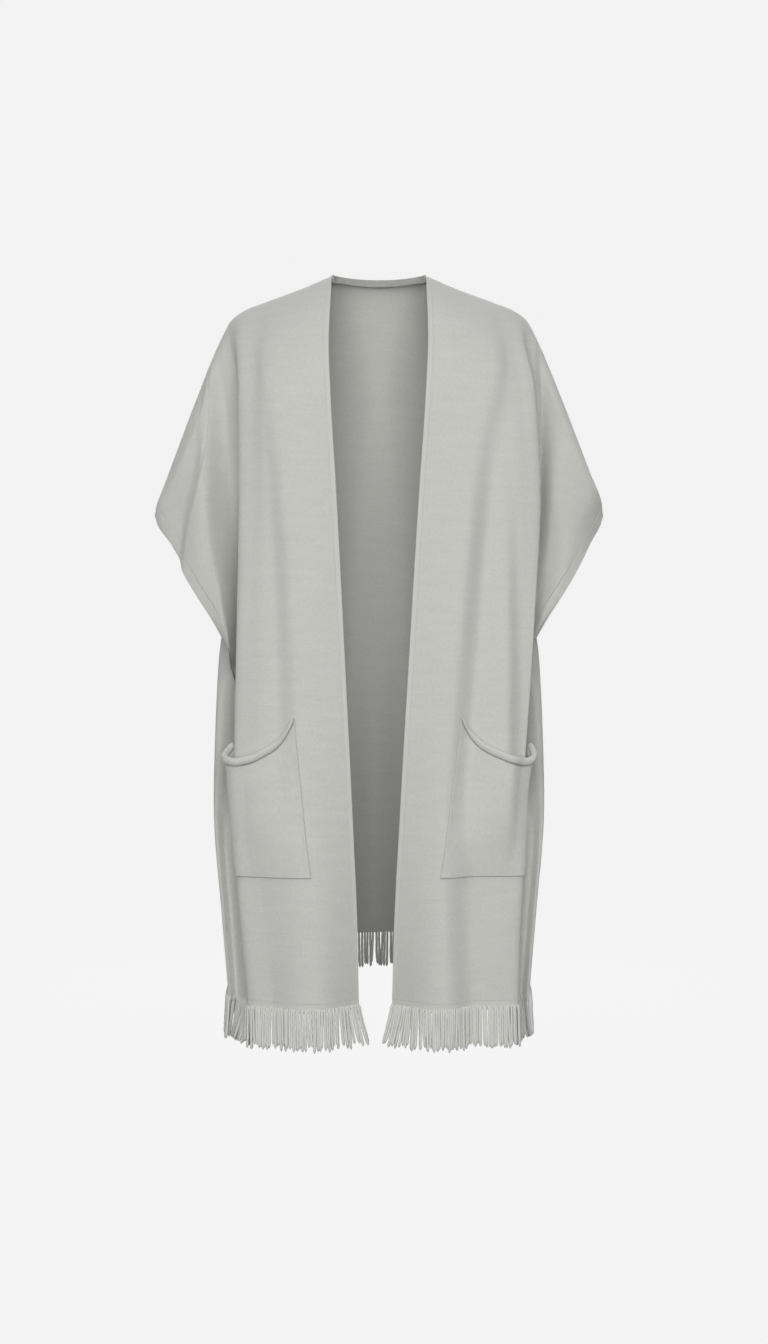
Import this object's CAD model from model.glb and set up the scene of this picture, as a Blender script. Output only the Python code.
"""The looks of a long open-front knitted gilet with cape sleeves, patch pockets and a fringed hem."""

import math

import bmesh
import bpy
import numpy as np
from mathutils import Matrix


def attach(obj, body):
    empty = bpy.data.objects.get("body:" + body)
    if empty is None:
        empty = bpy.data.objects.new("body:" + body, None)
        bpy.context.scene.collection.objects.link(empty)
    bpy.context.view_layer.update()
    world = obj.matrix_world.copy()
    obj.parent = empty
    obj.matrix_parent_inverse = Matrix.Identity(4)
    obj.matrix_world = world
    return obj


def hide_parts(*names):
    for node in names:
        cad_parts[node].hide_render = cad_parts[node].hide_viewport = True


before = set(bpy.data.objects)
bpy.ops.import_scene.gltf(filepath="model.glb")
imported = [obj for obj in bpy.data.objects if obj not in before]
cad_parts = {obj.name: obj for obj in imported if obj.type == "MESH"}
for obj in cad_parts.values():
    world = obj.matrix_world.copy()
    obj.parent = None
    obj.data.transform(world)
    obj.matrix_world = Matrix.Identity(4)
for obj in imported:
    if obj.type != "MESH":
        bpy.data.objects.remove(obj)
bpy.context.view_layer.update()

# ----------------------------------------
# The back panel, cut in one with the backs of both cape sleeves: a fine wool jersey, lightly felted, that
# hangs from the shoulder seams. It and the fronts are sheets, read at (across, down): across from the centre
# back or front edge (0) to the armhole and side seam (1, right -1), and down from shoulder (0) to hem (1).
HEM_Z = -0.988
ROW_CROWDING = 1.7  # rows crowd towards the shoulder seam by this power


def columns(names, *rows):
    """The columns of a table, by name."""
    return {name: np.array([row[i] for row in rows]) for i, name in enumerate(names)}


SHOULDER = columns(
    ("across", "x", "z"),
    (0.00, 0.0650, -0.0010), (0.25, 0.1160, -0.0225), (0.42, 0.1590, -0.0378),
    (0.50, 0.1865, -0.0485), (0.56, 0.2045, -0.0615), (0.62, 0.2160, -0.0820),
    (0.78, 0.2545, -0.1750), (0.92, 0.2945, -0.2810), (1.00, 0.3148, -0.3325),
)
OUTLINE = columns(
    ("z", "x"),
    (-0.3325, 0.3148), (-0.3400, 0.3115), (-0.3690, 0.2930), (-0.3970, 0.2780), (-0.4253, 0.2622),
    (-0.4524, 0.2455), (-0.4795, 0.2285), (-0.5050, 0.2145), (-0.5335, 0.2025), (-0.5800, 0.2005),
    (-0.6500, 0.2015), (-0.7500, 0.2030), (-0.8800, 0.1960), (-0.9880, 0.1900),
)
SECTIONS = {}  # what each sheet's plan runs through, at ten heights
SECTIONS["back"] = columns(
    ("height", "back_y", "crest_x", "crest_y", "valley_x", "valley_y", "side_x", "side_y"),
    (0.000, 0.100, 0.195, 0.050, 0.212, 0.030, 0.2545, 0.034),
    (-0.100, 0.108, 0.196, 0.070, 0.212, 0.036, 0.2500, 0.044),
    (-0.200, 0.117, 0.198, 0.084, 0.212, 0.042, 0.2430, 0.050),
    (-0.300, 0.122, 0.199, 0.090, 0.210, 0.056, 0.2345, 0.047),
    (-0.430, 0.124, 0.200, 0.094, 0.207, 0.068, 0.2180, 0.056),
    (-0.540, 0.124, 0.201, 0.095, 0.212, 0.060, 0.2245, 0.024),
    (-0.650, 0.124, 0.203, 0.096, 0.215, 0.054, 0.2285, 0.012),
    (-0.750, 0.127, 0.203, 0.098, 0.216, 0.054, 0.2300, 0.012),
    (-0.880, 0.131, 0.196, 0.102, 0.206, 0.056, 0.2195, 0.012),
    (-0.988, 0.134, 0.190, 0.104, 0.199, 0.057, 0.2105, 0.012),
)


def curve(at, values, x):
    """A smooth cubic through the values at the knots, read at x. A value may be an array as large as x."""
    at, values, x = np.asarray(at, float), np.asarray(values, float), np.asarray(x, float)
    if at[0] > at[-1]:
        at, values = at[::-1], values[::-1]
    slopes = np.gradient(values, at, axis=0)
    x = np.clip(x, at[0], at[-1])
    i = np.clip(np.searchsorted(at, x, side="right") - 1, 0, len(at) - 2)
    step = at[i + 1] - at[i]
    t = (x - at[i]) / step

    def pick(array, k):
        return array[k] if array.ndim == 1 else np.take_along_axis(array, k[None], axis=0)[0]

    return (
        (1 + 2 * t) * (1 - t) ** 2 * pick(values, i)
        + t * (1 - t) ** 2 * step * pick(slopes, i)
        + t * t * (3 - 2 * t) * pick(values, i + 1)
        + t * t * (t - 1) * step * pick(slopes, i + 1)
    )


def smooth(x):
    """An S curve from 0 to 1."""
    x = np.clip(x, 0, 1)
    return x * x * (3 - 2 * x)


def quarter(x):
    """A quarter of a circle from 0, steep, to 1, level."""
    return np.sqrt(1 - (1 - np.clip(x, 0, 1)) ** 2)


TIP_X, TIP_Z = SHOULDER["x"][-1], SHOULDER["z"][-1]  # the elbow, where the sleeve comes to a point
UNDERARM_Z = -0.5335
LEVEL_ROW, SLANT_POWER = 0.54, 1.2  # the rows follow the shoulder's slope, less and less down to this one
ARMHOLE_GAPE = {"front": 0.036, "back": 0.060}
BOW_POWER, OPEN_BOW = 1.3, 0.9


def slant(t):
    """How much of the shoulder's slope a row still has."""
    return np.clip(1 - t / LEVEL_ROW, 0, 1) ** SLANT_POWER


def armhole(down, sheet):
    """The outer edge's height, how far it bows out there, and whether it is open (1) or sewn (0)."""
    t = down**ROW_CROWDING
    z = t * HEM_Z + slant(t) * TIP_Z
    along = np.clip((z - TIP_Z) / (UNDERARM_Z - TIP_Z), 0, 1)
    bow = np.maximum(np.sin(math.pi * along), 0) ** BOW_POWER
    return z, bow * ARMHOLE_GAPE[sheet], smooth(bow / OPEN_BOW)


FACING = {"front": -1, "back": 1}  # which way out of the garment is, along y
SEAM_Y = -0.018  # the side seams lie in the hollow behind the fronts' side folds
# Places across: over the body, round the fold at its side, in the hollow behind it and on the side wall.
CHEST, SHOULDER_BLADE, FOLD_IN, FOLD_CREST, FOLD_OUT, HOLLOW, SIDE = 0.20, 0.38, 0.47, 0.52, 0.56, 0.63, 0.80
OUTSIDE = 0.20  # the curves run on past each end by this much, so that they leave it straight
CHEST_SHARE, BLADE_SHARE = 0.36, 0.72
BLADE_BEND, BACK_BEND = 0.55, 0.94
CREST_ROLL, FOLD_IN_ROLLS, FOLD_OUT_ROLLS = 0.012, (1.6, 1.1), (0.2, 1.9)


def plan(sheet, side, down):
    """The stations (across, x, y) that each row of a sheet runs through, seen from above."""
    t = down**ROW_CROWDING
    table, facing = SECTIONS[sheet], FACING[sheet]
    now = {name: curve(table["height"], table[name], t * HEM_Z) for name in table if name != "height"}
    crest_y, side_x, side_y = now["crest_y"], now["side_x"], now["side_y"]
    outer_z, gape, opened = armhole(down, sheet)
    outer_x = curve(OUTLINE["z"], OUTLINE["x"], outer_z)
    outer_y = SEAM_Y * smooth((outer_z - TIP_Z) / (UNDERARM_Z - TIP_Z)) + facing * gape
    if sheet == "front":
        crest_x = np.where(side > 0, now["crest_x_left"], now["crest_x_right"])
        valley_x = np.where(side > 0, now["valley_x_left"], now["valley_x_right"])
        start_x, start_y, body_y = now["edge_x"] + side * SWAY * t, now["edge_y"], now["front_y"]
        middle_y = body_y
        beyond_x = (1 - opened) * side_x + opened * (2 * outer_x - side_x)
    else:
        crest_x, valley_x = now["crest_x"], now["valley_x"]
        start_x, start_y, body_y = 0.0 * t, now["back_y"], now["back_y"]
        middle_y = BACK_BEND * body_y
        beyond_x = 2 * outer_x - side_x
    chest_x = start_x + CHEST_SHARE * (crest_x - start_x)
    (in_x, in_y), (out_x, out_y) = FOLD_IN_ROLLS, FOLD_OUT_ROLLS
    blade_y = (1 - BLADE_BEND) * middle_y + BLADE_BEND * (crest_y + facing * in_x * CREST_ROLL)
    return [
        (-OUTSIDE, 2 * start_x - chest_x, 2 * start_y - body_y),
        (0, start_x, start_y),
        (CHEST, chest_x, body_y),
        (SHOULDER_BLADE, start_x + BLADE_SHARE * (crest_x - start_x), blade_y),
        (FOLD_IN, crest_x - in_x * CREST_ROLL, crest_y + facing * in_y * CREST_ROLL),
        (FOLD_CREST, crest_x, crest_y),
        (FOLD_OUT, crest_x - out_x * CREST_ROLL, crest_y - facing * out_y * CREST_ROLL),
        (HOLLOW, valley_x, now["valley_y"]),
        (SIDE, side_x, side_y),
        (1, outer_x, outer_y),
        (1 + OUTSIDE, beyond_x, 2 * outer_y - side_y),
    ]


NECK_HALF, NAPE_Y = 0.065, 0.060
NECK_ACROSS = 0.20  # on the back sheet, the neckline takes this much of across
BACK_RISE = 0.070  # the back hem rides up by this much at its centre
SHOULDER_TURN, ARM_TURN = 0.20, 0.055  # rows over which the cloth turns down, on the chest and on the arm
ARM_START, ARM_FULL = 0.42, 0.72
SETTLE, EDGE_SETTLE = 0.12, 0.015  # rows over which it moves from the shoulder line's x to the plan's
ELBOW_ROUND, ELBOW_REACH = 0.0032, 0.016  # the elbow's corner is drawn in by this much, over this reach
SEAM_GAP, SEAM_SHARE = 0.0003, 0.55


def loft(sheet, across, down):
    """Points on the middle of a sheet, without its folds."""
    across, down = np.broadcast_arrays(np.asarray(across, float), np.asarray(down, float))
    side, across = np.where(across < 0, -1, 1), np.abs(across)
    t = down**ROW_CROWDING
    stations = plan(sheet, side, down)
    knots = [station[0] for station in stations]
    plan_x, plan_y = (
        curve(knots, [np.broadcast_to(station[axis], t.shape) for station in stations], across)
        for axis in (1, 2)
    )
    on_seam, inside, rise = across, np.ones(t.shape), 0
    if sheet == "back":
        on_seam = np.clip((across - NECK_ACROSS) / (1 - NECK_ACROSS), 0, 1)
        inside = np.clip(across / NECK_ACROSS, 0, 1)
        rise = BACK_RISE * np.cos(math.pi / 2 * across) ** 2
    line_x = curve(SHOULDER["across"], SHOULDER["x"], on_seam)
    seam_x = np.where(inside < 1, NECK_HALF * np.sin(inside * math.pi / 2), line_x)
    seam_y = NAPE_Y * np.cos(inside * math.pi / 2)
    seam_z = curve(SHOULDER["across"], SHOULDER["z"], on_seam)
    reach = SHOULDER_TURN + (ARM_TURN - SHOULDER_TURN) * smooth((across - ARM_START) / (ARM_FULL - ARM_START))
    settle = SETTLE + (EDGE_SETTLE - SETTLE) * smooth((across - SIDE) / (1 - SIDE))
    x = seam_x + (plan_x - seam_x) * smooth(t / settle)
    y = seam_y + (plan_y - seam_y) * quarter(t / reach)
    z = t * (HEM_Z + rise) + slant(t) * seam_z
    x = x - ELBOW_ROUND * np.exp(-((np.hypot(x - TIP_X, z - TIP_Z) / ELBOW_REACH) ** 2))
    return np.stack([side * x, y + FACING[sheet] * SEAM_SHARE * SEAM_GAP, z], axis=-1)


TINY = 1e-9  # across at a front edge, where its sign still tells left from right
NORMAL_SPAN, NO_NORMAL = 0.012, 1e-12
SEAM_ROWS, SIDE_SEAM_REACH = 0.03, 0.15  # near these seams the two sheets' normals agree


def outward(sheet, across, down):
    """Unit normals of a sheet without its folds, out of the garment."""
    across, down = np.broadcast_arrays(np.asarray(across, float), np.asarray(down, float))
    low, high = np.clip(across - NORMAL_SPAN, -1, 1), np.clip(across + NORMAL_SPAN, -1, 1)
    if sheet == "front":
        low = np.where(across > 0, np.maximum(low, TINY), low)
        high = np.where(across < 0, np.minimum(high, -TINY), high)
    over = loft(sheet, high, down) - loft(sheet, low, down)
    along = loft(sheet, across, down + NORMAL_SPAN) - loft(sheet, across, np.maximum(down - NORMAL_SPAN, 0))
    normal = np.cross(along, over) * -FACING[sheet]
    at_seam = np.where((sheet == "back") & (np.abs(across) < NECK_ACROSS), 0, 1 - smooth(down / SEAM_ROWS))
    at_side = smooth(1 - (1 - np.abs(across)) / SIDE_SEAM_REACH) * (1 - armhole(down, sheet)[2])
    normal[..., 1] *= (1 - at_seam) * (1 - at_side)
    return normal / np.maximum(np.linalg.norm(normal, axis=-1, keepdims=True), NO_NORMAL)


# A fold runs down through three places across, between two heights, and grows and fades over the first and
# last share of its run. It dips as a trough, steps the cloth beyond it back, or laps over a sharp drop.
FOLD_COLUMNS = (
    "across_top", "across_middle", "across_low", "z_top", "z_low", "grow", "fade",
    "dip", "step", "lap", "width",
)
FOLDS = {}
FOLDS["back"] = (
    (-0.020, -0.025, -0.030, -0.40, -1.06, 0.40, 0, 0.010, 0, 0, 0.0240),
    (0.330, 0.315, 0.300, -0.20, -1.06, 0.40, 0, 0.007, 0.0060, 0, 0.0180),
    (-0.370, -0.350, -0.330, -0.20, -1.06, 0.40, 0, 0.007, 0.0060, 0, 0.0180),
)
GIRTH = 0.33  # cloth width of half a sheet
STEP_WIDE, STEP_BACK = 3.0, 7.0
LAP_REACH, LAP_OVER, LAP_LIP = 4.5, 0.09, 0.6  # a lap eases out over so many widths, and its lip leans out
FOLD_EDGE, FOLD_SHOULDER = 0.08, 0.12
# Below the underarm the side seams tuck in behind the fronts' side folds, and the back swells forward there.
TUCK_GROW, TUCK_END, TUCK_FADE = 0.06, -0.68, 0.16
TUCK_COLUMNS = ("in", "back", "swell")
TUCK_HIGH, TUCK_LOW = (0.011, 0.034, 0.014), (0.019, -0.074, 0.068)  # above TUCK_END, and well below it
TUCK_FROM, TUCK_OVER = 0.57, (0.07, 0.40)  # across the fronts
TUCK_REACH = (0.070, 0.060)  # across the back
SWELL_AT, SWELL_REACH, SWELL_IN = 0.83, 0.09, 0.085  # it also draws in by a share


def creased(sheet, across, z):
    """How deep the folds press in at each point, how far they drop forward, and how far they lean."""
    depth, drop, lean = np.zeros((3, *across.shape))
    for row in FOLDS[sheet]:
        fold = dict(zip(FOLD_COLUMNS, row))
        run = (z - fold["z_top"]) / (fold["z_low"] - fold["z_top"])
        strength = smooth(run / fold["grow"]) * (1 - smooth((run - 1) / max(fold["fade"], TINY) + 1))
        at = np.clip(run, 0, 1)
        top, middle, low = fold["across_top"], fold["across_middle"], fold["across_low"]
        path = top + at * (4 * middle - 3 * top - low) + 2 * at * at * (top + low - 2 * middle)
        d = (across - path) * math.copysign(GIRTH / fold["width"], top)
        stepped = smooth(0.5 + d / STEP_WIDE) - smooth(d / STEP_BACK)
        lapped = smooth(0.5 + d) * np.exp(-np.maximum(d - 0.5, 0) / LAP_REACH)
        depth += strength * (fold["dip"] * np.exp(-d * d) + fold["step"] * stepped)
        drop += strength * fold["lap"] * lapped
        lean += strength * fold["lap"] * LAP_OVER * np.exp(-((d + LAP_LIP) ** 2))
    return depth, drop, lean


def hanging(sheet, across, down):
    """(points, normals) of a sheet with its folds."""
    across, down = np.broadcast_arrays(np.asarray(across, float), np.asarray(down, float))
    points, normals = loft(sheet, across, down), outward(sheet, across, down)
    depth, drop, lean = creased(sheet, across, points[..., 2])
    from_edge = 1 - np.abs(across)
    near_edge = smooth(from_edge / FOLD_EDGE)
    held = 1 - (1 - near_edge) * (1 - armhole(down, sheet)[2])
    held = held * smooth(down / FOLD_SHOULDER)
    level = np.stack([-normals[..., 1], normals[..., 0], 0 * across], axis=-1)
    level *= np.sign(level[..., :1] * np.sign(across)[..., None])
    lean *= near_edge
    points = points - normals * (depth * held)[..., None] + level * (lean * held)[..., None]
    points[..., 1] -= FACING[sheet] * drop * held
    below = smooth((UNDERARM_Z - points[..., 2]) / TUCK_GROW)
    low = smooth((TUCK_END - points[..., 2]) / TUCK_FADE)
    tucks = zip(TUCK_COLUMNS, TUCK_HIGH, TUCK_LOW)
    tuck = {name: below * ((1 - low) * at_top + low * at_foot) for name, at_top, at_foot in tucks}
    if sheet == "front":
        tucked = [smooth((np.abs(across) - TUCK_FROM) / over) for over in TUCK_OVER]
        swelling = 0
    else:
        tucked = [np.exp(-((from_edge / reach) ** 2)) for reach in TUCK_REACH]
        swelling = np.exp(-(((np.abs(across) - SWELL_AT) / SWELL_REACH) ** 2))
    points[..., 0] -= np.sign(across) * (tuck["in"] * tucked[0] + SWELL_IN * tuck["swell"] * swelling)
    points[..., 1] += tuck["back"] * tucked[1] - tuck["swell"] * swelling
    return points, normals


trial_rows = np.linspace(0.3, 0.9, 2401)
trial_heights = armhole(trial_rows, "back")[0]
SIDE_TOP = float(np.interp(-UNDERARM_Z, -trial_heights, trial_rows))  # the row at which the side seam starts
UNDERARM_GAP = 0.0005  # between the band and the side seam, in rows
ARMHOLE_BAND = 0.013
BAND_LEAST = 0.80  # the armhole bands reach no further in than this
TAPER_START, TAPER = 0.60, 0.85  # from this row on they narrow towards the underarm, by this share
WIDEST_BAND, BAND_TRIALS, EDGE_TRIALS = 0.30, 121, 241
PAST_HEM = 1.05


def across_inside(sheet, side, down, width, edge):
    """Where each row is at this distance from its edge, which is at 0 or 1."""
    trial = side * np.maximum(np.abs(edge - np.linspace(0, WIDEST_BAND, BAND_TRIALS)), TINY)
    edge_rows = np.linspace(0, SIDE_TOP if edge else PAST_HEM, EDGE_TRIALS)
    border = loft(sheet, np.full(edge_rows.shape, side * max(edge, TINY)), edge_rows)
    found = []
    for row in np.atleast_1d(down):
        points = loft(sheet, trial, np.full(trial.shape, row))
        distance = np.linalg.norm(points[:, None] - border[None], axis=-1).min(axis=1)
        distance = np.maximum.accumulate(np.where(np.abs(trial) == edge, 0, distance))
        found.append(np.interp(width, distance, np.abs(trial)))
    return np.array(found)


def armhole_seam(sheet, side, down):
    """across at the inner edge of an armhole band, and at the edge of the panel beside it."""
    found = np.maximum(across_inside(sheet, side, down, ARMHOLE_BAND, 1), BAND_LEAST)
    near = smooth((down - TAPER_START) / (SIDE_TOP - TAPER_START))
    band = 1 - (1 - found) * (1 - TAPER * near)
    stretch = loft(sheet, side * band, down) - loft(sheet, side * (band - NORMAL_SPAN), down)
    return band, band - SEAM_GAP * NORMAL_SPAN / np.linalg.norm(stretch, axis=-1)


RIM_ANGLES = np.radians([0, 25, 55, 90])
BEHIND_RIM = 1.8  # a row this many radii in keeps the shading flat behind a rim
RIM_MOST = 0.9  # a rim takes up no more than this share of the first step


def rimmed(grid, axis, radii):
    """The grid with rows added at both ends of an axis for rounded rims, and each row's share of the wall."""
    grid = np.moveaxis(grid, axis, 0)

    def rows(first, second, radius):
        length = np.linalg.norm(second[..., :3] - first[..., :3], axis=-1, keepdims=True)
        reach = radius * np.append(1 - np.cos(RIM_ANGLES), BEHIND_RIM)
        reach = np.minimum(reach[:, None, None] / np.maximum(length, TINY), RIM_MOST)
        return first + (second - first) * reach

    start, end = rows(grid[0], grid[1], radii[0]), rows(grid[-1], grid[-2], radii[1])[::-1]
    turned = np.sin(RIM_ANGLES)
    wall = np.concatenate([turned, np.ones(len(grid)), turned[::-1]])
    return np.moveaxis(np.concatenate([start, grid[1:-1], end]), 0, axis), wall


def placed(name, data):
    """A new object in the scene."""
    thing = bpy.data.objects.new(name, data)
    bpy.context.scene.collection.objects.link(thing)
    return thing


GRID_PARTS = (3, 6, 8, 9)  # where the normals, uv, offset and thickness start in a grid's last axis


def cloth(name, points, normals, uv, thickness, material, rims, offset=0.0):
    """A wall of cloth on a grid of points, as a mesh object with its own UV map. The rims tell how round it
    is at the start and end across and at the start and end down, in parts of half its thickness."""
    shape = points.shape[:2]
    extra = [np.broadcast_to(value, shape)[..., None] for value in (offset, thickness)]
    grid = np.concatenate([points, normals, uv, *extra], axis=-1)
    radii = np.array(rims) * float(np.max(thickness)) / 2
    grid, wall_across = rimmed(grid, 0, radii[:2])
    grid, wall_down = rimmed(grid, 1, radii[2:])
    wall = wall_across[:, None] * wall_down[None]
    points, normals, uv, offset, thickness = np.split(grid, GRID_PARTS, axis=-1)
    half = thickness * wall[..., None] / 2
    faces_of_wall = [points + normals * (offset + half), points + normals * (offset - half)]
    vertices = np.concatenate([face.reshape(-1, 3) for face in faces_of_wall])
    number = np.arange(wall.size).reshape(wall.shape)
    under = np.where(wall < TINY, number, wall.size + number)
    quads = []
    for index, order in ((number, (0, 1, 2, 3)), (under, (0, 3, 2, 1))):
        corners = (index[:-1, :-1], index[1:, :-1], index[1:, 1:], index[:-1, 1:])
        quads.append(np.stack([corners[k] for k in order], axis=-1).reshape(-1, 4))
    quads = np.concatenate(quads)
    kept, index = np.unique(quads, return_inverse=True)
    index = index.reshape(quads.shape)
    uv_all = np.concatenate([uv.reshape(-1, 2)] * 2)[kept]
    mesh = bpy.data.meshes.new(name)
    mesh.from_pydata(vertices[kept].tolist(), [], index.tolist())
    mesh.uv_layers.new(name="cloth").data.foreach_set("uv", uv_all[index].reshape(-1).astype(np.float32))
    normal = np.cross(points[1:, :-1] - points[:-1, :-1], points[:-1, 1:] - points[:-1, :-1])
    if (normal * normals[:-1, :-1]).sum() < 0:
        mesh.flip_normals()
    mesh.shade_smooth()
    mesh.materials.append(material)
    return placed(name, mesh)


def dressed(piece, node):
    """The piece rides on the part's one body and stands for its solid."""
    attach(piece, "root")
    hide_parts(node)


def steps_along(points, axis):
    """The lengths of the steps from point to point."""
    return np.linalg.norm(np.diff(points, axis=axis), axis=-1)


def cloth_uv(sheet, across, down):
    """Metres along the courses from the middle, and up the wales from the hem."""
    flat = loft(sheet, across, down)
    u = np.concatenate([np.zeros((1, flat.shape[1])), np.cumsum(steps_along(flat, 0), axis=0)])
    u -= np.array([np.interp(0, across[:, j], u[:, j]) for j in range(u.shape[1])])
    fall = steps_along(flat, 1)[:, ::-1]
    v = np.concatenate([np.cumsum(fall, axis=1)[:, ::-1], np.zeros((flat.shape[0], 1))], axis=1)
    return np.stack([u, v], axis=-1)


def sewn_cloth(node, sheet, across, rows, thickness, material, rims):
    """A piece of cloth at these places across a sheet, on these rows, in place of its solid."""
    down = np.broadcast_to(rows[None], across.shape)
    points, normals = hanging(sheet, across, down)
    piece = cloth(node + "_cloth", points, normals, cloth_uv(sheet, across, down), thickness, material, rims)
    dressed(piece, node)


CLOSE_STATIONS = ((0.59, 0.085, 4.0), (0.85, 0.12, 1.5))  # (place across, reach, how much closer)
FINE_STATIONS = 2001
BAND_ROOM = 0.72  # only the columns past this place move to make room for the armhole band


def fold_stations(count):
    """Places across a panel, closer together where it folds sharply."""
    fine = np.linspace(0, 1, FINE_STATIONS)
    density = 1 + sum(gain * np.exp(-(((fine - at) / reach) ** 2)) for at, reach, gain in CLOSE_STATIONS)
    total = np.concatenate([[0], np.cumsum((density[1:] + density[:-1]) / 2)])
    return np.interp(np.linspace(0, total[-1], count), total, fine)


def panel_across(sheet, side, rows, count):
    """across at a panel's columns on every row. Above the underarm the outer ones make room for the band."""
    outer = np.where(rows <= SIDE_TOP, armhole_seam(sheet, side, np.minimum(rows, SIDE_TOP))[1], 1.0)
    inner = np.zeros(rows.shape)
    if sheet == "front":
        inner = across_inside(sheet, side, rows, FRONT_BAND + CLOSED_SEAM, 0)
    across = inner + fold_stations(count)[:, None] * (1 - inner)
    room = np.maximum(across - BAND_ROOM, 0) * (1 - outer) / (1 - BAND_ROOM)
    return side * (across - room)


def panel_rows(count):
    """Rows from the shoulder to the hem, with a pair at the underarm."""
    rows = np.linspace(0, 1, count)
    rows[np.argmin(np.abs(rows - SIDE_TOP))] = SIDE_TOP
    return np.sort(np.append(rows, SIDE_TOP + UNDERARM_GAP))


def shaded(name, sockets):
    """A new material and its shader, whose sockets get these values."""
    material = bpy.data.materials.new(name)
    material.use_nodes = True
    shader = material.node_tree.nodes["Principled BSDF"]
    for socket, value in sockets.items():
        shader.inputs[socket].default_value = value
    return material, shader


def in_use(sockets, key):
    """The socket that is in use under this name, or the one at this place."""
    found = [socket for socket in sockets if socket.enabled and socket.name == key]
    return found[0] if found else sockets[key]


def node_makers(tree):
    """Four functions that add to a tree: a node, a node read at its first output in use, a sum on numbers,
    and a vector times a number."""

    def add(kind, inputs=(), **settings):
        node = tree.nodes.new(kind)
        for key, value in settings.items():
            setattr(node, key, value)
        for key, value in dict(inputs).items():
            if isinstance(value, bpy.types.NodeSocket):
                tree.links.new(value, in_use(node.inputs, key))
            else:
                in_use(node.inputs, key).default_value = value
        return node

    def make(kind, inputs=(), **settings):
        return next(socket for socket in add(kind, inputs, **settings).outputs if socket.enabled)

    def calc(operation, *values):
        return make("ShaderNodeMath", enumerate(values), operation=operation)

    def scaled(value, factor):
        return make("ShaderNodeVectorMath", {0: value, "Scale": factor}, operation="SCALE")

    return add, make, calc, scaled


KNIT_FINISH = {
    "Roughness": 0.92,
    "Specular IOR Level": 0.25,
    "Sheen Weight": 0.55,
    "Sheen Roughness": 0.5,
    "Sheen Tint": (0.95, 0.95, 0.92, 1),
}
LEG_SLANT, COLUMN_EDGE, LOOP_DEPTH = 0.6, 0.6, 0.65  # of the V stitches
FUZZ, FUZZ_HEIGHT, BUMP = {"Scale": 900, "Detail": 3}, 0.9, 0.55
SLOW_TONE, TONE_STRETCH = {"Scale": 1.0, "Detail": 4}, (18, 90, 1)
GRAIN, GRAIN_SHARE = {"Scale": 260, "Detail": 2}, 1.6
MEAN_STITCH, STITCH_TONE = 0.45, 0.10


def knit_material(name, colour, wale, course, relief, blotch):
    """Plain jersey: columns of V stitches, softened by felting, with slow changes of tone along the rows."""
    material, shader = shaded(name, KNIT_FINISH)
    links = material.node_tree.links
    add, make, calc, scaled = node_makers(material.node_tree)

    def noise(place, sizes):
        return make("ShaderNodeTexNoise", {"Vector": place, **sizes})

    uv = make("ShaderNodeUVMap", uv_map="cloth")
    split = add("ShaderNodeSeparateXYZ", {"Vector": uv}).outputs
    across = calc("MULTIPLY", split["X"], 1 / wale)
    up = calc("MULTIPLY", split["Y"], 1 / course)
    leg = calc("ABSOLUTE", calc("SUBTRACT", calc("MULTIPLY", calc("FRACT", across), 2.0), 1.0))
    slanted = calc("ADD", up, calc("MULTIPLY", leg, LEG_SLANT))
    loop = calc("ABSOLUTE", calc("SINE", calc("MULTIPLY", slanted, math.pi)))
    column = calc("ABSOLUTE", calc("SINE", calc("MULTIPLY", across, 2 * math.pi)))
    rounded = calc("MULTIPLY_ADD", loop, LOOP_DEPTH, 1 - LOOP_DEPTH)
    stitch = calc("MULTIPLY", calc("POWER", column, COLUMN_EDGE), rounded)
    height = calc("MULTIPLY_ADD", noise(uv, FUZZ), FUZZ_HEIGHT, stitch)
    bump = make("ShaderNodeBump", {"Strength": BUMP, "Distance": relief, "Height": height})
    stretched = make("ShaderNodeMapping", {"Vector": uv, "Scale": TONE_STRETCH})
    mottled = calc("MULTIPLY_ADD", calc("SUBTRACT", noise(stretched, SLOW_TONE), 0.5), blotch, 1.0)
    mottled = calc("MULTIPLY_ADD", calc("SUBTRACT", noise(uv, GRAIN), 0.5), GRAIN_SHARE * blotch, mottled)
    mottled = calc("MULTIPLY_ADD", calc("SUBTRACT", stitch, MEAN_STITCH), STITCH_TONE, mottled)
    links.new(bump, shader.inputs["Normal"])
    links.new(scaled(colour, mottled), shader.inputs["Base Color"])
    return material


CLOTH = 0.0020
# How round a rim is: at a closed seam, where it is sewn down flat, beside a groove, and where it is free.
CLOSED_RIM, SEWN_RIM, GROOVE_RIM, OPEN_RIM = 0.08, 0.20, 0.5, 0.9
BACK_COLUMNS_EACH_SIDE, PANEL_ROW_COUNT = 90, 190
KNIT_COLOUR = (0.565, 0.565, 0.535)
knit = knit_material("fine_jersey", KNIT_COLOUR, wale=0.0026, course=0.0019, relief=0.0006, blotch=0.12)
rows = panel_rows(PANEL_ROW_COUNT)
right_half, left_half = (panel_across("back", side, rows, BACK_COLUMNS_EACH_SIDE) for side in (-1, 1))
across = np.concatenate([right_half[::-1], left_half[1:]])
back_rims = (GROOVE_RIM, GROOVE_RIM, SEWN_RIM, SEWN_RIM)
sewn_cloth("back_panel", "back", across, rows, CLOTH, knit, back_rims)

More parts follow.
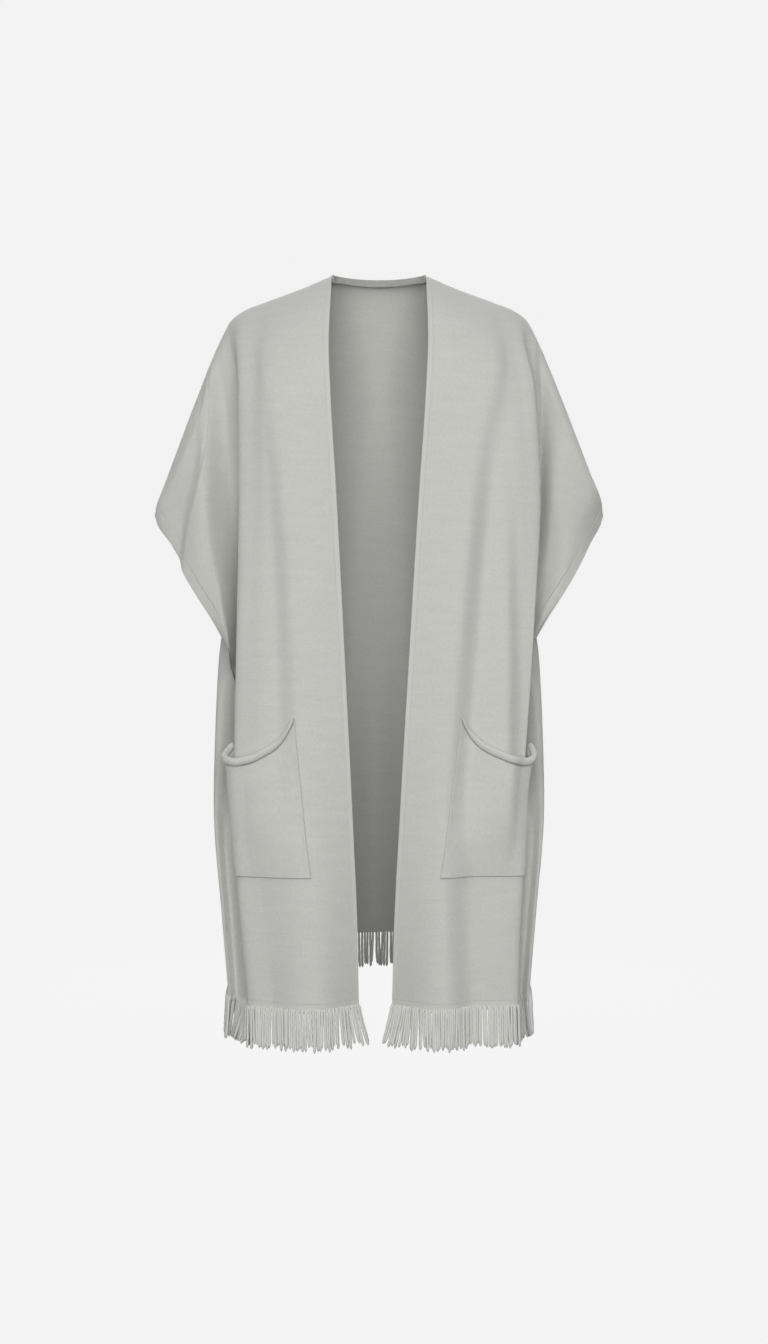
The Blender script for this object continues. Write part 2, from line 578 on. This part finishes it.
# ----------------------------------------
# The two fronts, each cut in one with the front of its cape sleeve, from the same jersey. They fall from the
# shoulder, fold round at the side and run back into the hollow where the side seam lies.
SIDES = ((1, "left"), (-1, "right"))  # the wearer's own left and right
FRONT_BAND, CLOSED_SEAM = 0.007, 0.00005
SWAY = -0.0045  # the front edges hang this far off centre at the hem
FRONT_COLUMN_COUNT = 150
SECTIONS["front"] = columns(
    ("height", "edge_x", "edge_y", "front_y", "crest_x_right", "crest_x_left", "crest_y",
     "valley_x_right", "valley_x_left", "valley_y", "side_x", "side_y"),
    (0.000, 0.0650, -0.110, -0.110, 0.195, 0.197, -0.060, 0.216, 0.218, -0.030, 0.2545, -0.036),
    (-0.100, 0.0665, -0.114, -0.116, 0.190, 0.208, -0.078, 0.209, 0.222, -0.032, 0.2480, -0.044),
    (-0.200, 0.0620, -0.119, -0.124, 0.188, 0.213, -0.092, 0.205, 0.221, -0.036, 0.2410, -0.054),
    (-0.300, 0.0555, -0.124, -0.131, 0.187, 0.217, -0.098, 0.203, 0.220, -0.044, 0.2340, -0.056),
    (-0.430, 0.0480, -0.127, -0.136, 0.188, 0.217, -0.102, 0.202, 0.2125, -0.060, 0.2170, -0.050),
    (-0.540, 0.0420, -0.127, -0.138, 0.190, 0.213, -0.104, 0.199, 0.208, -0.060, 0.2040, -0.040),
    (-0.650, 0.0360, -0.126, -0.139, 0.192, 0.207, -0.104, 0.198, 0.204, -0.060, 0.2010, -0.039),
    (-0.750, 0.0310, -0.120, -0.140, 0.191, 0.200, -0.106, 0.199, 0.202, -0.061, 0.2020, -0.039),
    (-0.880, 0.0250, -0.109, -0.141, 0.182, 0.189, -0.106, 0.192, 0.194, -0.061, 0.1950, -0.039),
    (-0.988, 0.0225, -0.098, -0.141, 0.172, 0.187, -0.104, 0.184, 0.190, -0.060, 0.1890, -0.039),
)
FOLDS["front"] = (
    (-0.370, -0.300, -0.282, -0.10, -0.80, 0.50, 0.25, 0, 0.0105, 0, 0.0110),
    (0.440, 0.340, 0.290, -0.06, -0.32, 0.35, 0.45, 0, 0.0065, 0, 0.0110),
    (0.305, 0.252, 0.236, -0.16, -0.82, 0.36, 0.20, 0, 0.0240, 0, 0.0110),
    (0.395, 0.440, 0.488, -0.24, -0.84, 0.40, 0.25, 0, 0.0160, 0, 0.0095),
    (-0.470, -0.465, -0.462, -0.76, -1.06, 0.40, 0, 0, -0.0060, 0, 0.0100),
    (-0.260, -0.330, -0.340, -0.74, -1.06, 0.50, 0, 0, 0.0050, 0, 0.0180),
    (0.235, 0.272, 0.305, -0.70, -1.06, 0.40, 0, 0, 0.0240, 0, 0.0160),
    (0.460, 0.462, 0.462, -0.78, -1.06, 0.35, 0, 0, -0.0050, 0, 0.0100),
    (-0.560, -0.583, -0.578, -0.05, -0.74, 0.76, 0.12, 0, 0, 0.098, 0.0054),
    (0.630, 0.616, 0.598, -0.05, -0.62, 0.42, 0.20, 0, 0, 0.020, 0.0130),
    (-0.690, -0.775, -1.010, -0.10, -0.41, 0.30, 0.05, 0, 0, 0.004, 0.0030),
    (-0.720, -0.812, -1.050, -0.10, -0.43, 0.30, 0.05, 0, 0.0100, 0, 0.0062),
    (0.800, 0.840, 0.890, -0.08, -0.54, 0.40, 0.10, 0, 0, -0.021, 0.0600),
)
front_rims = (CLOSED_RIM, GROOVE_RIM, SEWN_RIM, SEWN_RIM)
for side, word in SIDES:
    across = panel_across("front", side, rows, FRONT_COLUMN_COUNT)
    sewn_cloth("front_panel_" + word, "front", across, rows, CLOTH, knit, front_rims)

# ----------------------------------------
# The front edge bands: a narrow doubled strip along each front edge, from the neck to the hem. It is a closer
# jersey than the front, joined to it edge to edge so that the seam hardly shows, and it rolls a little.
EDGE_STATIONS, EDGE_ROLL, ROLL_START = 13, 0.0003, 0.25
BAND_COLOUR = (0.570, 0.570, 0.540)
band_knit = knit_material("band_jersey", BAND_COLOUR, wale=0.0021, course=0.0016, relief=0.0004, blotch=0.04)
rolled = CLOTH + EDGE_ROLL * np.sin(math.pi * np.linspace(ROLL_START, 1, EDGE_STATIONS))[:, None] ** 2
edge_rims = (OPEN_RIM, CLOSED_RIM, SEWN_RIM, SEWN_RIM)
for side, word in SIDES:
    seam = across_inside("front", side, rows, FRONT_BAND, 0)
    across = side * np.maximum(seam[None] * np.linspace(0, 1, EDGE_STATIONS)[:, None], TINY)
    sewn_cloth("front_band_" + word, "front", across, rows, rolled, band_knit, edge_rims)

# ----------------------------------------
# The armhole bands: each half of an opening is hemmed with a flat strip of the jersey, sewn to the panel
# along a fine groove. It narrows towards the underarm.
BAND_STATIONS, ARMHOLE_CLOTH = 9, 0.0024
armhole_rims = (GROOVE_RIM, OPEN_RIM, SEWN_RIM, SEWN_RIM)
band_rows = rows[rows <= SIDE_TOP].copy()
band_rows[-1] -= UNDERARM_GAP
for sheet in ("front", "back"):
    for side, word in SIDES:
        inner = armhole_seam(sheet, side, band_rows)[0][None]
        across = side * (inner + (1 - inner) * np.linspace(0, 1, BAND_STATIONS)[:, None])
        node = "armhole_band_" + sheet + "_" + word
        sewn_cloth(node, sheet, across, band_rows, ARMHOLE_CLOTH, knit, armhole_rims)

# ----------------------------------------
# The back neck band: a short standing strip, knitted with its reverse side out, that closes the back neck. It
# is sewn inside the neckline, and towards its ends it is lower and hangs further down.
NECK_BAND, NECK_CLOTH, NECK_SWEEP, NECK_GAP = 0.0072, 0.0028, math.radians(91), 0.0004
NECK_FALL = 0.62  # it loses this share of its height towards its ends
NECK_LAP, NECK_LAP_END = 0.0026, 0.0008  # it laps inside the neckline
NECK_HANG, NECK_HANG_END, HANG_FROM = 0.0030, 0.0085, 0.55  # and hangs below it, lower at its ends
NECK_STATIONS, NECK_ROWS = 81, 9
UPRIGHT = np.array([0, 0, 1])
DARKER = (0.41, 0.41, 0.385)
reverse_knit = knit_material("reverse_jersey", DARKER, wale=0.0019, course=0.0030, relief=0.0016, blotch=0.30)
turn = np.linspace(-1, 1, NECK_STATIONS)
angles = turn * NECK_SWEEP
neckline = np.stack([NECK_HALF * np.sin(angles), NAPE_Y * np.cos(angles), 0 * angles], axis=-1)
out = np.stack([np.sin(angles) / NECK_HALF, np.cos(angles) / NAPE_Y, 0 * angles], axis=-1)
out /= np.linalg.norm(out, axis=-1, keepdims=True)
at_end = smooth((np.abs(turn) - HANG_FROM) / (1 - HANG_FROM))
neckline -= out * (NECK_LAP + (NECK_LAP_END - NECK_LAP) * at_end)[:, None]
hang = NECK_HANG + (NECK_HANG_END - NECK_HANG) * at_end
foot = SHOULDER["z"][0] + CLOTH / 2 + NECK_GAP
top = foot + NECK_BAND * (1 - NECK_FALL * np.abs(turn) ** 3)
heights = (foot - hang + np.linspace(0, 1, NECK_ROWS)[:, None] * (top - foot + hang)).T
points = neckline[:, None] + heights[..., None] * UPRIGHT
length = np.concatenate([[0], np.cumsum(steps_along(neckline, 0))])
uv = np.stack([length[:, None] + 0 * heights, heights], axis=-1)
out = np.broadcast_to(out[:, None], points.shape)
neck_band = cloth("neck_band_cloth", points, out, uv, NECK_CLOTH, reverse_knit, (OPEN_RIM,) * 4)
dressed(neck_band, "neck_band")

# ----------------------------------------
# The patch pockets: each is a flat piece of the jersey, sewn on at its inner side, its foot and round the
# side fold. Its mouth runs down towards the side and gapes there, with a rolled band along it.
POCKET_INNER = {-1: (0.233, 0.189), 1: (0.218, 0.174)}  # where its inner edge starts and ends, on each side
POCKET_SIDE, POCKET_LOW_Z = 0.560, -0.822
POCKET_CLEAR, POCKET_CLOTH = 0.0009, 0.0022
POCKET_WELT, WELT_REACH = 0.0026, 0.035  # its turned-in inner edge is thicker
POCKET_STATIONS, POCKET_ROWS, EDGE_SAMPLES = 90, 50, 41
POCKET_RIMS = (OPEN_RIM, OPEN_RIM, 0.6, 0.5)
MOUTH = columns(
    ("along", "z", "gape"),
    (0.00, -0.616, 0.000), (0.15, -0.641, 0.004), (0.45, -0.665, 0.008), (0.65, -0.673, 0.010),
    (0.80, -0.674, 0.010), (0.91, -0.662, 0.006), (1.00, -0.652, 0.001),
)
ROLL_HIGH, ROLL_THICK, ROLL_GIRTH = 0.011, 0.008, 0.030
ROLL_AROUND = 20
ROLL_CLOSING, ROLL_TIP = 5, 0.02  # it closes over so many stations, to this share at its tip


def row_of(z):
    """The row that is at this height in the middle of a sheet."""
    return (z / HEM_Z) ** (1 / ROW_CROWDING)


def pocket_grid(side):
    """(points, normals, uv, gape) over a pocket, from inner edge to side and from mouth to foot."""
    below = np.linspace(0, 1, POCKET_ROWS)[None, :]
    top, low = POCKET_INNER[side]
    inner = top + (low - top) * below
    along = np.linspace(0, 1, POCKET_STATIONS)[:, None] + 0 * inner
    station = inner + along * (POCKET_SIDE - inner)
    mouth_z = curve(MOUTH["along"], MOUTH["z"], along)
    down = row_of(mouth_z + below * (POCKET_LOW_Z - mouth_z))
    samples = np.linspace(0, 1, EDGE_SAMPLES)
    band = np.interp(down, samples, across_inside("front", side, samples, FRONT_BAND + CLOSED_SEAM, 0))
    points, normals = hanging("front", side * (band + station * (1 - band)), down)
    uv = np.stack([station * GIRTH, down * -HEM_Z], axis=-1)
    return points, normals, uv, curve(MOUTH["along"], MOUTH["gape"], along) * (1 - below)


def ring_faces(count, around):
    """Quads between rings of points, each ring after the one before."""
    here, beside = np.arange(around), np.roll(np.arange(around), -1)
    first = np.stack([here, beside, around + beside, around + here], axis=-1)
    return (around * np.arange(count - 1)[:, None, None] + first).reshape(-1, 4).tolist()


def mouth_roll(name, points, normals, gape):
    """A soft roll that lies on a pocket's mouth and closes at both ends."""
    centres = points + normals * (CLOTH / 2 + POCKET_CLEAR + gape + ROLL_THICK / 2)[:, None]
    centres += (ROLL_HIGH / 2 + SEAM_GAP) * UPRIGHT
    level = normals * [1, 1, 0]
    level /= np.linalg.norm(level, axis=-1, keepdims=True)
    count = len(centres)
    from_end = np.minimum(np.arange(count), np.arange(count)[::-1]) / ROLL_CLOSING
    ends = np.maximum(np.sin(np.clip(from_end, 0, 1) * math.pi / 2), ROLL_TIP)[:, None, None]
    angles = np.linspace(0, 2 * math.pi, ROLL_AROUND, endpoint=False)
    rings = (
        centres[:, None]
        + ends * level[:, None] * (np.cos(angles) * ROLL_THICK / 2)[None, :, None]
        + ends * UPRIGHT * (np.sin(angles) * ROLL_HIGH / 2)[None, :, None]
    )
    caps = [list(range(ROLL_AROUND))[::-1], [(count - 1) * ROLL_AROUND + k for k in range(ROLL_AROUND)]]
    mesh = bpy.data.meshes.new(name)
    mesh.from_pydata(rings.reshape(-1, 3).tolist(), [], ring_faces(count, ROLL_AROUND) + caps)
    work = bmesh.new()
    work.from_mesh(mesh)
    bmesh.ops.recalc_face_normals(work, faces=work.faces[:])
    work.to_mesh(mesh)
    work.free()
    length = np.concatenate([[0], np.cumsum(steps_along(centres, 0))])
    layer = mesh.uv_layers.new(name="cloth")
    for loop in mesh.loops:
        station, place = divmod(loop.vertex_index, ROLL_AROUND)
        layer.data[loop.index].uv = (length[station], place * ROLL_GIRTH / ROLL_AROUND)
    mesh.shade_smooth()
    mesh.materials.append(band_knit)
    return placed(name, mesh)


along = np.linspace(0, 1, POCKET_STATIONS)[:, None]
thickness = POCKET_CLOTH + POCKET_WELT * np.exp(-((along / WELT_REACH) ** 2))
for side, word in SIDES:
    points, normals, uv, gape = pocket_grid(side)
    offset = CLOTH + POCKET_CLEAR + gape
    pocket = cloth("pocket_" + word + "_cloth", points, normals, uv, thickness, knit, POCKET_RIMS, offset)
    dressed(pocket, "pocket_" + word)
    roll = mouth_roll("pocket_roll_" + word + "_cloth", points[:, 0], normals[:, 0], gape[:, 0])
    dressed(roll, "pocket_roll_" + word)

# ----------------------------------------
# The hem bands: a flat strip of the jersey under each panel, joined to it edge to edge. It holds the heads of
# the fringe on its face.
HEM_BAND, HEM_CLOTH, HEM_STATIONS, HEM_ROWS = 0.012, 0.0020, 140, 7
HEM_RIMS = (OPEN_RIM, OPEN_RIM, 0.3, 0.6)
HEMS = (("back", 1, "back"), ("front", 1, "front_left"), ("front", -1, "front_right"))


def below_hem(drop):
    """The row that is this far below the panels' hem."""
    return (1 + drop / -HEM_Z) ** (1 / ROW_CROWDING)


def hem_across(sheet, side, count):
    """Places across a hem, over both halves of the back or over one front."""
    stations = fold_stations(count)
    if sheet == "back":
        return np.concatenate([-stations[::-1], stations[1:]])
    return side * np.maximum(stations, TINY)


hem_rows = below_hem(np.linspace(CLOSED_SEAM, SEAM_GAP + HEM_BAND, HEM_ROWS))
for sheet, side, word in HEMS:
    across = hem_across(sheet, side, HEM_STATIONS)[:, None] + 0 * hem_rows[None]
    sewn_cloth("hem_band_" + word, sheet, across, hem_rows, HEM_CLOTH, knit, HEM_RIMS)

# ----------------------------------------
# The fringe: ends of soft twisted yarn that hang from the face of each hem band. They are cut unevenly, cling
# together in small clumps and lean out at a panel's ends.
STRAND_INPUTS = (
    ("count", "Int"), ("drop", "Float"), ("uneven", "Float"), ("thickness", "Float"), ("sway", "Float"),
    ("scatter", "Float"), ("gather", "Float"), ("seed", "Int"), ("yarn", "Material"),
)
SCATTER_RANGE = ((-1, -1, -0.3), (1, 1, 0.3))
CLUMPS, CLUMP_WIDE = {"Scale": 90, "Detail": 1}, (2, 1, 0)
WAVE, WAVE_RUN, WAVE_APART, WAVE_WIDE = {"Scale": 1.5, "Detail": 1}, 1.6, 90.0, (2, 2, 0)
FAN_POWER = 1.3
EMERGING = 11.0  # a yarn end comes out of the band's face over one part in so many of its length
TWIST = 18.0  # radians
YARN_THICKNESS = ((0, 0.55), (1, 0.30), (0.10, 0.85), (0.5, 0.95), (0.90, 1.0), (0.97, 0.80))
YARN_POINTS, YARN_AROUND, YARN_OVAL = 22, 8, (1.0, 0.90, 1.0)


def strand_tree():
    """Hangs yarn ends from a line: spaced, clumped and cut unevenly, each a soft twisted tube."""
    tree = bpy.data.node_groups.new("yarn_ends", "GeometryNodeTree")
    tree.interface.new_socket("Geometry", in_out="INPUT", socket_type="NodeSocketGeometry")
    for name, kind in STRAND_INPUTS:
        tree.interface.new_socket(name, in_out="INPUT", socket_type="NodeSocket" + kind)
    tree.interface.new_socket("Geometry", in_out="OUTPUT", socket_type="NodeSocketGeometry")
    add, make, calc, scaled = node_makers(tree)
    given = add("NodeGroupInput").outputs

    def vector(operation, *values):
        return make("ShaderNodeVectorMath", enumerate(values), operation=operation)

    def random(kind, low, high, salt):
        sockets = {"Min": low, "Max": high, "Seed": calc("ADD", given["seed"], salt)}
        return make("FunctionNodeRandomValue", sockets, data_type=kind)

    def named(name, kind="FLOAT_VECTOR"):
        return make("GeometryNodeInputNamedAttribute", {"Name": name}, data_type=kind)

    def around_zero(place, sizes, wide, **settings):
        colour = add("ShaderNodeTexNoise", {"Vector": place, **sizes}, **settings).outputs["Color"]
        return vector("MULTIPLY", vector("SUBTRACT", colour, (0.5, 0.5, 0.5)), wide)

    line = make("GeometryNodeMeshToCurve", {"Mesh": given["Geometry"]})
    points = make("GeometryNodeCurveToPoints", {"Curve": line, "Count": given["count"]}, mode="COUNT")
    scatter = scaled(random("FLOAT_VECTOR", *SCATTER_RANGE, 1), given["scatter"])
    points = make("GeometryNodeSetPosition", {"Geometry": points, "Offset": scatter})
    phase = random("FLOAT", 0.0, 1.0, 2)
    lean_more = random("FLOAT_VECTOR", (-1, -1, 0), (1, 1, 0), 3)
    gathered = scaled(around_zero(make("GeometryNodeInputPosition"), CLUMPS, CLUMP_WIDE), given["gather"])
    share = calc("MULTIPLY_ADD", random("FLOAT", -1.0, 1.0, 4), given["uneven"], 1.0)
    for name, kind, value in (
        ("phase", "FLOAT", phase),
        ("lean_more", "FLOAT_VECTOR", lean_more),
        ("gathered", "FLOAT_VECTOR", gathered),
        ("cut", "FLOAT", calc("MULTIPLY", share, given["drop"])),
    ):
        sockets = {"Geometry": points, "Name": name, "Value": value}
        points = make("GeometryNodeStoreNamedAttribute", sockets, data_type=kind, domain="POINT")

    strand = make("GeometryNodeCurvePrimitiveLine", {"Start": (0, 0, 0), "End": (0, 0, -1)})
    strand = make("GeometryNodeResampleCurve", {"Curve": strand, "Count": YARN_POINTS})
    size = make("ShaderNodeCombineXYZ", {"X": 1, "Y": 1, "Z": named("cut", "FLOAT")})
    ends = make("GeometryNodeInstanceOnPoints", {"Points": points, "Instance": strand, "Scale": size})
    ends = make("GeometryNodeRealizeInstances", {"Geometry": ends})
    factor = make("GeometryNodeSplineParameter")
    phase = named("phase", "FLOAT")
    low = calc("POWER", factor, FAN_POWER)
    stray = scaled(vector("ADD", scaled(named("lean_more"), given["sway"]), named("gathered")), low)
    wave_at = make("ShaderNodeCombineXYZ", {"X": calc("MULTIPLY", factor, WAVE_RUN)})
    wave_sizes = {"W": calc("MULTIPLY", phase, WAVE_APART), **WAVE}
    wave = around_zero(wave_at, wave_sizes, WAVE_WIDE, noise_dimensions="4D")
    wander = scaled(scaled(wave, given["sway"]), factor)
    emerging = scaled(named("out"), calc("MINIMUM", calc("MULTIPLY", factor, EMERGING), 1.0))
    offset = scaled(named("lean"), low)
    for part in (stray, wander, emerging):
        offset = vector("ADD", offset, part)
    ends = make("GeometryNodeSetPosition", {"Geometry": ends, "Offset": offset})
    twist = calc("MULTIPLY", calc("ADD", factor, phase), TWIST)
    ends = make("GeometryNodeSetCurveTilt", {"Curve": ends, "Tilt": twist})

    profile = add("ShaderNodeFloatCurve", {"Value": factor})
    shape = profile.mapping.curves[0].points
    shape[0].location, shape[1].location = YARN_THICKNESS[:2]
    for at, value in YARN_THICKNESS[2:]:
        shape.new(at, value)
    profile.mapping.update()
    thick = calc("MULTIPLY", profile.outputs[0], calc("MULTIPLY", given["thickness"], 0.5))
    ring = make("GeometryNodeCurvePrimitiveCircle", {"Resolution": YARN_AROUND, "Radius": 1.0}, mode="RADIUS")
    oval = make("GeometryNodeTransform", {"Geometry": ring, "Scale": YARN_OVAL})
    sockets = {"Curve": ends, "Profile Curve": oval, "Scale": thick, "Fill Caps": True}
    yarns = make("GeometryNodeRealizeInstances", {"Geometry": make("GeometryNodeCurveToMesh", sockets)})
    yarns = make("GeometryNodeSetShadeSmooth", {"Geometry": yarns})
    yarns = make("GeometryNodeSetMaterial", {"Geometry": yarns, "Material": given["yarn"]})
    add("NodeGroupOutput", {"Geometry": yarns})
    return tree


YARN_FINISH = {"Base Color": (0.61, 0.61, 0.58, 1), "Roughness": 0.95, "Sheen Weight": 0.2}
yarn = shaded("soft_yarn", YARN_FINISH)[0]
FRINGE_COLUMNS = ("pitch", "head", "out", "thickness", "uneven", "sway", "scatter", "gather")
FRINGE_SIZES = {
    "front": (0.0030, 0.0060, 0.0022, 0.0042, 0.08, 0.0014, 0.0009, 0.0046),
    "back": (0.0044, 0.0060, 0.0024, 0.0042, 0.06, 0.0014, 0.0008, 0.0050),
}
FRINGE_DROP, FRINGE_FAN, FAN_REACH = 0.048, 0.012, (0.15, 0.25)
FRINGE_STATIONS, FIRST_SEED = 120, 11


def fringe(name, sheet, side, seed):
    """The yarn ends of one hem, hung from a line on the face of its band."""
    sizes = dict(zip(FRINGE_COLUMNS, FRINGE_SIZES[sheet]))
    across = hem_across(sheet, side, FRINGE_STATIONS)
    points, normals = hanging(sheet, across, np.full(across.shape, below_hem(SEAM_GAP + sizes["head"])))
    to_side = smooth(1 - (1 - np.abs(across)) / FAN_REACH[1]) * np.sign(across)
    to_middle = -side * smooth(1 - np.abs(across) / FAN_REACH[0]) if sheet == "front" else 0
    lean = np.zeros((len(across), 3))
    lean[:, 0] = (to_side + to_middle) * FRINGE_FAN
    mesh = bpy.data.meshes.new(name)
    mesh.from_pydata(points.tolist(), [(i, i + 1) for i in range(len(points) - 1)], [])
    for key, value in (("lean", lean), ("out", normals * sizes["out"])):
        attribute = mesh.attributes.new(key, "FLOAT_VECTOR", "POINT")
        attribute.data.foreach_set("vector", value.reshape(-1).astype(np.float32))
    piece = placed(name, mesh)
    modifier = piece.modifiers.new("yarn_ends", "NODES")
    modifier.node_group = yarn_ends
    count, drop = int(steps_along(points, 0).sum() / sizes["pitch"]), HEM_BAND + FRINGE_DROP - sizes["head"]
    values = {**sizes, "count": count, "drop": drop, "seed": seed, "yarn": yarn}
    for socket in yarn_ends.interface.items_tree:
        if socket.in_out == "INPUT" and socket.name in values:
            modifier[socket.identifier] = values[socket.name]
    finished = bpy.data.meshes.new_from_object(piece.evaluated_get(bpy.context.evaluated_depsgraph_get()))
    piece.modifiers.clear()
    piece.data = finished
    finished.name = name
    return piece


yarn_ends = strand_tree()
for number, (sheet, side, word) in enumerate(HEMS):
    yarn_piece = fringe("fringe_" + word + "_yarn", sheet, side, FIRST_SEED + number)
    dressed(yarn_piece, "fringe_" + word)

# ----------------------------------------
# The cut. Each panel and pocket is a flat sheet of jersey, so many metres wide and long before it was sewn,
# and the strips and fringe sewn to it go with it. The back hangs from the shoulders, and the fronts from it.
BACK_TRIM = ("neck_band", "armhole_band_back_left", "armhole_band_back_right", "hem_band_back", "fringe_back")
FRONT_TRIM = ("front_band_", "armhole_band_front_", "hem_band_front_", "fringe_front_")
CUTS = [("back_panel", (1.06, 0.98), 0.675, [], BACK_TRIM)]  # node, flat size, area, carriers, trim
for word, area in (("left", 0.274), ("right", 0.292)):
    trim = [strip + word for strip in FRONT_TRIM]
    CUTS.append(("front_panel_" + word, (0.43, 1.04), area, ["back_panel"], trim))
for word, area in (("left", 0.0246), ("right", 0.0237)):
    CUTS.append(("pocket_" + word, (0.16, 0.21), area, ["front_panel_" + word], ["pocket_roll_" + word]))


def piece_of(node):
    """The piece that stands for a node."""
    return bpy.data.objects[node + ("_yarn" if node.startswith("fringe") else "_cloth")]


for node, flat, area, carriers, trim in CUTS:
    trimmings = [piece_of(other) for other in trim]

# ----------------------------------------
# The room: a round pale studio whose floor sweeps up into its wall, soft light from in front and above, a
# weaker light behind, and the camera. The garment hangs at the height at which it is worn.
FLOOR_Z, FLOOR_RADIUS, ROOM_RADIUS, ROOM_HEIGHT, SWEEP = -1.42, 2.0, 6.5, 7.0, 2.0
ROOM_AROUND, SWEEP_ROWS = 64, 13
FLOOR_PAINT = {
    "Base Color": (0.02, 0.02, 0.02, 1),
    "Roughness": 0.9,
    "Specular IOR Level": 0.0,
    "Emission Color": (1, 1, 1, 1),
    "Emission Strength": 0.885,
}
bend = np.linspace(0, math.pi / 2, SWEEP_ROWS)
room_radii = np.concatenate([[FLOOR_RADIUS], ROOM_RADIUS - SWEEP + SWEEP * np.sin(bend), [ROOM_RADIUS]])
room_heights = FLOOR_Z + np.concatenate([[0.0], SWEEP * (1 - np.cos(bend)), [ROOM_HEIGHT]])
circle = np.linspace(0, 2 * math.pi, ROOM_AROUND, endpoint=False)
circle = np.stack([np.cos(circle), np.sin(circle), 0 * circle], axis=-1)
room_points = room_radii[:, None, None] * circle + room_heights[:, None, None] * UPRIGHT
middle = len(room_radii) * ROOM_AROUND  # the number of the point in the middle of the floor
room_faces = [face[::-1] for face in ring_faces(len(room_radii), ROOM_AROUND)]
room_faces += [(middle, i, (i + 1) % ROOM_AROUND) for i in range(ROOM_AROUND)]
room = bpy.data.meshes.new("floor")
room.from_pydata([*room_points.reshape(-1, 3).tolist(), (0.0, 0.0, FLOOR_Z)], [], room_faces)
room.shade_smooth()
room.materials.append(shaded("pale_floor", FLOOR_PAINT)[0])
floor = placed("floor", room)
floor.visible_diffuse = False
floor.visible_shadow = False

SKY_LIGHT, SKY_EDGE = 0.40, 0.1  # the sky's light comes from above, and fades out across the horizon
world = bpy.data.worlds.new("studio")
world.use_nodes = True
bpy.context.scene.world = world
add, make = node_makers(world.node_tree)[:2]
height = add("ShaderNodeSeparateXYZ", {"Vector": make("ShaderNodeTexCoord")}).outputs["Z"]
sockets = {"Value": height, "From Min": -SKY_EDGE, "From Max": SKY_EDGE, "To Max": SKY_LIGHT}
from_above = make("ShaderNodeMapRange", sockets)
background = world.node_tree.nodes["Background"].inputs
background["Color"].default_value = (1, 1, 1, 1)
world.node_tree.links.new(from_above, background["Strength"])

LIGHT_SIZE = 2.0
LIGHTS = (("front", (0, -3.2, -0.05), (0, 0, -0.42), 87), ("behind", (0, 3.2, 0.2), (0, 0, -0.45), 70))
for name, place, aim, power in LIGHTS:
    light = bpy.data.lights.new(name, "AREA")
    light.shape, light.size, light.energy = "SQUARE", LIGHT_SIZE, power
    lamp = placed(name, light)
    lamp.location = place
    ray = np.array(aim, float) - np.array(place, float)
    tilt, heading = math.acos(-ray[2] / np.linalg.norm(ray)), math.atan2(ray[1], ray[0])
    lamp.rotation_euler = (tilt, 0, heading - math.pi / 2)
    lamp.visible_camera = False

camera = bpy.data.cameras.new("camera")
camera.lens, camera.sensor_fit, camera.sensor_height = 50, "VERTICAL", 36
eye = placed("camera", camera)
eye.location = (0.007, -2.6, -0.55)
eye.rotation_euler = (math.pi / 2, 0, 0)
bpy.context.scene.camera = eye
bpy.context.scene.view_settings.view_transform = "Standard"
